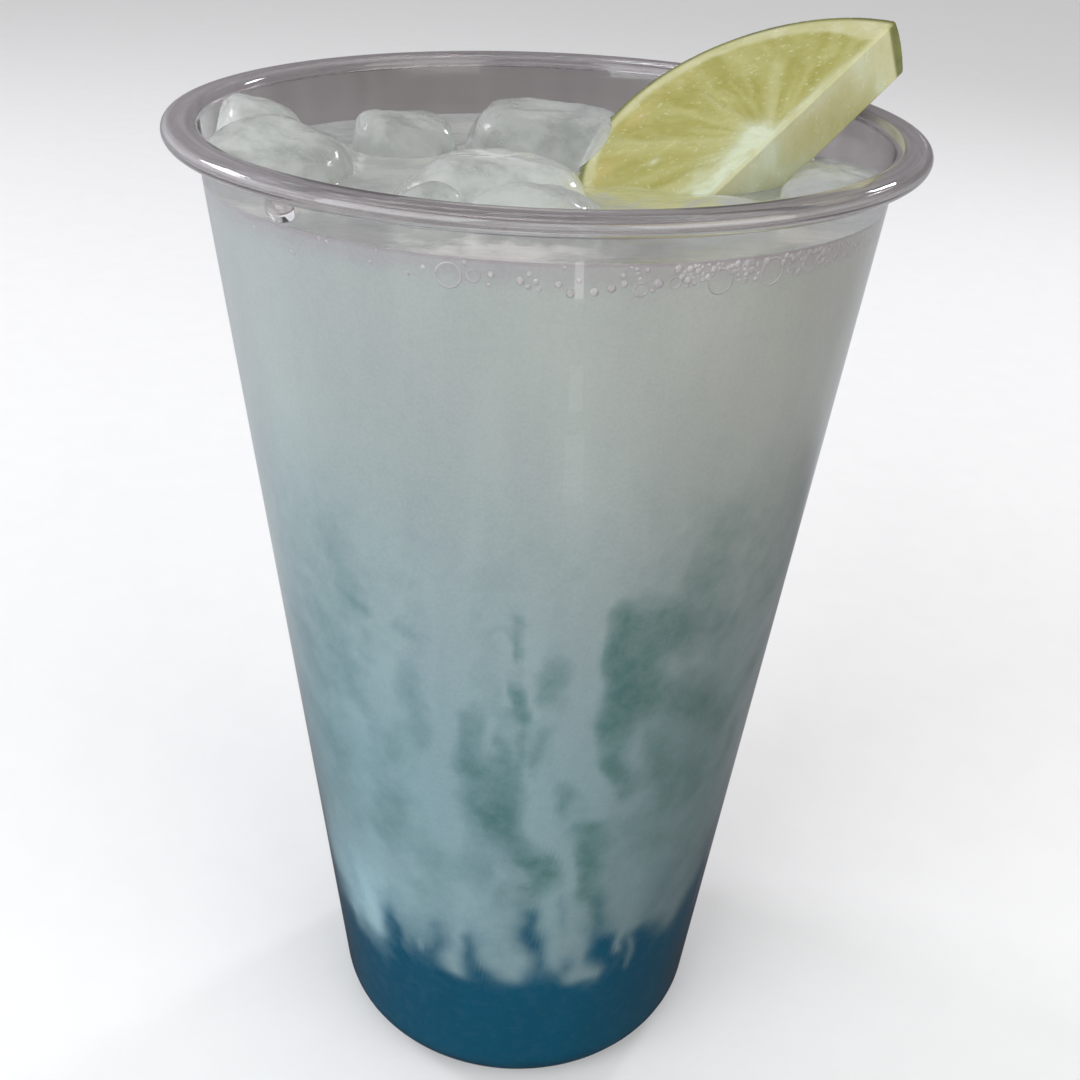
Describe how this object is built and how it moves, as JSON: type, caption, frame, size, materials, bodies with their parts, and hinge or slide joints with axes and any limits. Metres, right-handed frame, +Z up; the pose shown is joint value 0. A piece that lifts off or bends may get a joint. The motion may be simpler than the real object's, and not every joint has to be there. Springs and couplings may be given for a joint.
{
  "type": "iced layered drink in a plastic cup",
  "caption": "Tall clear plastic cup of iced drink, cloudy above a deep blue layer, topped with lumps of ice and a half slice of lime resting on the rim.",
  "frame": {"origin": "middle of the cup's foot, on the surface that it stands on", "axes": "+Z up, through the middle of the cup; -Y towards the side that the picture shows; the lime rises over the rim at +X"},
  "size_m": [0.098, 0.098, 0.1618],
  "materials": {
    "clear_plastic": "thin clear glossy moulded plastic",
    "blue_layer": "deep blue syrupy liquid seen through the cup",
    "cloudy_layer": "milky pale grey liquid with faint blue-green streaks, wet surface",
    "lime": "moist translucent flesh with pale membranes, dark green dimpled skin",
    "ice": "wet rounded melting ice, clear with cloudy patches"
  },
  "bodies": {
    "root": {"cup": "clear_plastic", "blue_syrup": "blue_layer", "cloudy_drink": "cloudy_layer", "lime_slice": "lime", "ice_left_tall": "ice", "ice_left_front": "ice", "ice_back_left": "ice", "ice_back_centre": "ice", "ice_front_centre": "ice", "ice_front_low": "ice", "ice_front_left": "ice", "ice_right": "ice"}
  },
  "joints": []
}
